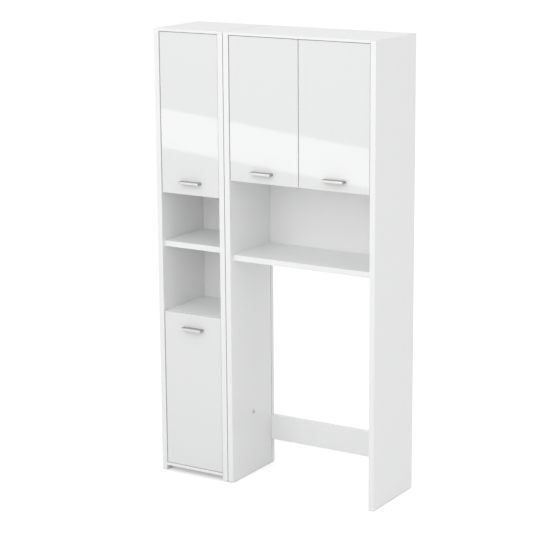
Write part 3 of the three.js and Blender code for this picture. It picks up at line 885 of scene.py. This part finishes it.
class CABINET_OT_hinges(Operator):
    """Models a cup hinge's three parts with their screws, and fits two hinges to each door"""

    bl_idname = "cabinet.hinges"
    bl_label = "Cup hinges"

    # Share of a slot's half width that its ends are rounded by, so that two bevels never meet
    ALMOST_ROUND = 0.98

    def execute(self, context):
        paint_nodes("steel", "bright_nickel")
        hinge = context.scene.cabinet_hinge
        parts = {
            "cup": self.model_cup(hinge),
            "link": self.model_link(hinge),
            "arm": self.model_arm(hinge),
        }
        screws = self.model_screws(hinge)
        for door, panel in PANELS.items():
            for end in ("lower", "upper"):
                self.fit(f"{door}_{end}_hinge", panel, parts, screws)
        drop(*parts.values(), *(screw for screw, _, _ in screws.values()))
        return {"FINISHED"}

    def fit(self, hinge, panel, parts, screws):
        """Places a hinge's parts on a panel; one at the right of its door is mirrored"""
        mirrored = "right" in panel
        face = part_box(panel)[0 if mirrored else 1].x
        height = middle_of(f"{hinge}_arm").z
        for part, master in parts.items():
            node = f"{hinge}_{part}"
            move = (face, 0.0, height)
            piece = copy_to(master, f"{node}_steel", move, body_with(node), mirrored)
            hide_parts(node)
        for name, (screw, carrier, places) in screws.items():
            for number, (x, y, z) in enumerate(places, start=1):
                move = (face - x if mirrored else face + x, y, height + z)
                body = body_with(f"{hinge}_{carrier}")
                piece = copy_to(screw, f"{hinge}_{name}_{number}", move, body, mirrored)

    def point(self, place):
        return Vector((place[0], BOARD_FRONT + place[1], 0.0))

    def model_cup(self, hinge):
        floor = DOOR_BACK - hinge.cup_depth
        foot = DOOR_BACK + hinge.seat
        rim = foot + hinge.flange_thickness
        middle = (hinge.cup_place, 0.0, 0.0)
        half_width, half_length = hinge.flange_width / 2, hinge.flange_length / 2
        cup = drum("Y", hinge.cup_radius, floor, rim, middle, steps=72)
        round_edges(lambda at: at.y < floor + TINY, hinge.cup_wall)
        flange = block(
            (hinge.cup_place - half_width, foot, -half_length),
            (hinge.cup_place + half_width, rim, half_length),
        )
        self.round_corners(
            hinge,
            lambda at: abs(at.x - hinge.cup_place) > half_width - TINY
            and abs(at.z) > half_length - TINY,
        )
        combine(cup, flange)
        inner = hinge.cup_radius - hinge.cup_wall
        hollow_floor = floor + hinge.cup_wall
        hollow = drum("Y", inner, hollow_floor, rim + SPARE, middle, steps=72)
        round_edges(lambda at: at.y < hollow_floor + TINY, hinge.cup_hollow)
        cut(cup, hollow)
        half_notch = hinge.link_width / 2 + 2 * hinge.seat
        notch_start = hinge.cup_place - hinge.cup_radius - 2 * SPARE
        cut(cup, block(
            (notch_start, DOOR_BACK, -half_notch), (hinge.cup_place, rim + SPARE, half_notch)
        ))
        reach = hinge.cup_radius
        pin = drum("Z", hinge.pin_radius, -reach, reach, self.point(hinge.cup_pin))
        core = drum("Y", reach - hinge.cup_wall / 2, floor, rim, middle, steps=72)
        combine(pin, core, "INTERSECT")
        combine(cup, pin)
        return done(cup, "hinge_cup", "bright_nickel")

    def round_corners(self, hinge, test):
        round_edges(test, hinge.corner, steps=6)

    def model_link(self, hinge):
        line = [self.point(place)[:2] for place in (hinge.arm_pin, hinge.knee, hinge.cup_pin)]
        link = bent_strip(line, hinge.link_thickness, hinge.link_width, hinge.link_bend)
        half = hinge.link_width / 2
        for place in (hinge.arm_pin, hinge.cup_pin):
            combine(link, drum("Z", hinge.knuckle, -half, half, self.point(place)))
        for place in (hinge.arm_pin, hinge.cup_pin):
            bore = hinge.pin_radius + hinge.seat
            cut(link, drum("Z", bore, -2 * half, 2 * half, self.point(place)))
        soften(link, hinge.link_edge)
        return done(link, "hinge_link", "bright_nickel")

    def model_arm(self, hinge):
        line = [
            self.point(place)[:2]
            for place in (hinge.arm_pin, hinge.crank_start, hinge.crank_end, hinge.arm_end)
        ]
        arm = bent_strip(line, hinge.arm_thickness, hinge.arm_width, hinge.arm_bend)
        half = hinge.arm_width / 2
        pin_place = self.point(hinge.arm_pin)
        combine(arm, drum("Z", hinge.knuckle, -half, half, pin_place))
        fork = hinge.link_width / 2 + hinge.seat
        cut(arm, drum("Z", hinge.knuckle + 2 * hinge.seat, -fork, fork, pin_place))
        back = BOARD_FRONT + hinge.arm_end[1]
        start = BOARD_FRONT + hinge.screw_line - hinge.wing_width / 2
        end = start + hinge.wing_width
        riser = half - hinge.arm_thickness / 2
        top = hinge.arm_end[0] + hinge.arm_thickness / 2
        soften(arm, hinge.arm_edge)
        post = block((hinge.seat, start, -riser), (hinge.arm_end[0], back, riser))
        soften(post, hinge.arm_edge)
        combine(arm, post)
        wings = block(
            (hinge.seat, start, -hinge.wing_length / 2),
            (hinge.seat + hinge.plate_thickness, end, hinge.wing_length / 2),
        )
        self.round_corners(
            hinge,
            lambda at: abs(at.z) > hinge.wing_length / 2 - TINY
            and not start + TINY < at.y < end - TINY,
        )
        soften(wings, hinge.arm_edge)
        combine(arm, wings)
        for y in hinge.setting_places:
            cut(arm, self.oblong(hinge, BOARD_FRONT + y, top))
        combine(arm, drum("Z", hinge.pin_radius, -half - hinge.seat, half + hinge.seat, pin_place))
        return done(arm, "hinge_arm", "bright_nickel")

    def oblong(self, hinge, y, top):
        """The sunk slot round a setting screw"""
        half_width = hinge.setting_screw + hinge.slot_play
        half_length = half_width + hinge.slot_run
        slot = block(
            (top - hinge.slot_depth, y - half_length, -half_width),
            (top + SPARE, y + half_length, half_width),
        )
        round_edges(
            lambda at: abs(at.y - y) > half_length - TINY and abs(at.z) > half_width - TINY,
            self.ALMOST_ROUND * half_width,
            steps=8,
        )
        return slot

    def model_screws(self, hinge):
        """Each kind of screw: its head, the part that carries it, and its places on the hinge"""
        flange = DOOR_BACK + hinge.seat + hinge.flange_thickness
        plate = hinge.seat + hinge.plate_thickness
        sunk = hinge.arm_end[0] + hinge.arm_thickness / 2 - hinge.slot_depth
        screw_line = BOARD_FRONT + hinge.screw_line
        return {
            "flange_screw": (
                pan_head("flange_screw", hinge.flange_screw, hinge.flange_screw_height, "Y"),
                "cup",
                [(hinge.cup_place, flange, step * hinge.flange_screw_place) for step in (-1, 1)],
            ),
            "plate_screw": (
                pan_head("plate_screw", hinge.plate_screw, hinge.plate_screw_height, "X"),
                "arm",
                [(plate, screw_line, step * hinge.plate_screw_place) for step in (-1, 1)],
            ),
            "setting_screw": (
                pan_head("setting_screw", hinge.setting_screw, hinge.setting_screw_height, "X"),
                "arm",
                [(sunk, BOARD_FRONT + y, 0.0) for y in hinge.setting_places],
            ),
        }


class CABINET_OT_bumpers(Operator):
    """Sticks two clear bumpers on the inner side of each door, along its free edge"""

    bl_idname = "cabinet.bumpers"
    bl_label = "Door bumpers"

    def execute(self, context):
        small = context.scene.cabinet_small
        bumper = drum("Y", small.bumper_radius, 0.0, small.bumper_height, steps=32)
        round_edges(lambda at: at.y > small.bumper_height - TINY, small.bumper_edge)
        done(bumper, "bumper", "clear_silicone")
        for door, panel in PANELS.items():
            low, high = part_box(door)
            hung_right = "right" in panel
            x = low.x + small.bumper_side if hung_right else high.x - small.bumper_side
            heights = {"lower": low.z + small.bumper_end, "upper": high.z - small.bumper_end}
            for end, z in heights.items():
                piece = copy_to(bumper, f"{door}_{end}_bumper", (x, DOOR_BACK, z), door)
        drop(bumper)
        return {"FINISHED"}


class CABINET_OT_connectors(Operator):
    """Models the bolts with two heads and a washer that tie the units together"""

    bl_idname = "cabinet.connectors"
    bl_label = "Connectors"

    def execute(self, context):
        small = context.scene.cabinet_small
        low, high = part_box("upper_connector")
        end = (high.x - low.x) / 2
        under_head = end - small.bolt_head_height
        half_shaft = end - small.bolt_head_height / 2
        bolt = drum("X", small.bolt_shaft, -half_shaft, half_shaft)
        washer = drum("X", small.washer, -small.washer_half, small.washer_half)
        round_edges(lambda at: abs(at.x) > small.washer_half - TINY, small.washer_edge, steps=2)
        combine(bolt, washer)
        for side in (-1.0, 1.0):
            head = drum("X", small.bolt_head, *sorted((side * under_head, side * end)))
            round_edges(lambda at: abs(at.x) > end - TINY, small.bolt_edge)
            combine(bolt, head)
            floor = side * (under_head + small.bolt_floor)
            socket_ends = sorted((floor, side * (end + SPARE)))
            cut(bolt, drum("X", small.bolt_socket, *socket_ends, steps=6))
        done(bolt, "bolt", "bright_nickel")
        for node in ("upper_connector", "lower_connector"):
            piece = copy_to(bolt, f"{node}_bolt", middle_of(node), "carcass")
            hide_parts(node)
        drop(bolt)
        return {"FINISHED"}


class CABINET_OT_glides(Operator):
    """Models a nail-in glide and puts one under each end of each panel"""

    bl_idname = "cabinet.glides"
    bl_label = "Glides"

    def execute(self, context):
        paint_nodes("plastic", "moulded_plastic")
        small = context.scene.cabinet_small
        top = small.glide_height
        glide = drum("Z", small.glide_radius, 0.0, top)
        round_edges(lambda at: at.z < TINY, small.glide_edge)
        round_edges(lambda at: at.z > top - TINY, small.glide_rim, steps=2)
        combine(glide, drum("Z", small.nail_radius, top / 2, top + small.nail_length, steps=24))
        done(glide, "glide", "moulded_plastic")
        for node in frame["nodes"]:
            if node.endswith("_glide"):
                where = middle_of(node)
                piece = copy_to(glide, f"{node}_pad", (where.x, where.y, 0.0), "carcass")
                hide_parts(node)
        drop(glide)
        return {"FINISHED"}


PARTS = (
    CabinetCamera,
    CabinetStage,
    CabinetColours,
    HandleSizes,
    HingeSizes,
    SmallSizes,
    CABINET_OT_stage,
    CABINET_OT_boards,
    CABINET_OT_doors,
    CABINET_OT_handles,
    CABINET_OT_hinges,
    CABINET_OT_bumpers,
    CABINET_OT_connectors,
    CABINET_OT_glides,
)


class CABINET_PT_panel(Panel):
    """Lists the steps that dress the cabinet"""

    bl_label = "Bathroom cabinet"
    bl_space_type = "VIEW_3D"
    bl_region_type = "UI"
    bl_category = "Cabinet"

    def draw(self, context):
        for part in PARTS:
            if issubclass(part, Operator):
                self.layout.operator(part.bl_idname)


def register():
    for part in (*PARTS, CABINET_PT_panel):
        bpy.utils.register_class(part)
    bpy.types.Scene.cabinet_camera = PointerProperty(type=CabinetCamera)
    bpy.types.Scene.cabinet_stage = PointerProperty(type=CabinetStage)
    bpy.types.Scene.cabinet_colours = PointerProperty(type=CabinetColours)
    bpy.types.Scene.cabinet_handle = PointerProperty(type=HandleSizes)
    bpy.types.Scene.cabinet_hinge = PointerProperty(type=HingeSizes)
    bpy.types.Scene.cabinet_small = PointerProperty(type=SmallSizes)


def unregister():
    del bpy.types.Scene.cabinet_small
    del bpy.types.Scene.cabinet_hinge
    del bpy.types.Scene.cabinet_handle
    del bpy.types.Scene.cabinet_colours
    del bpy.types.Scene.cabinet_stage
    del bpy.types.Scene.cabinet_camera
    for part in reversed((*PARTS, CABINET_PT_panel)):
        bpy.utils.unregister_class(part)


def main():
    register()
    bpy.ops.cabinet.stage()
    bpy.ops.cabinet.boards()
    bpy.ops.cabinet.doors()
    bpy.ops.cabinet.handles()
    bpy.ops.cabinet.hinges()
    bpy.ops.cabinet.bumpers()
    bpy.ops.cabinet.connectors()
    bpy.ops.cabinet.glides()


if __name__ == "__main__":
    main()
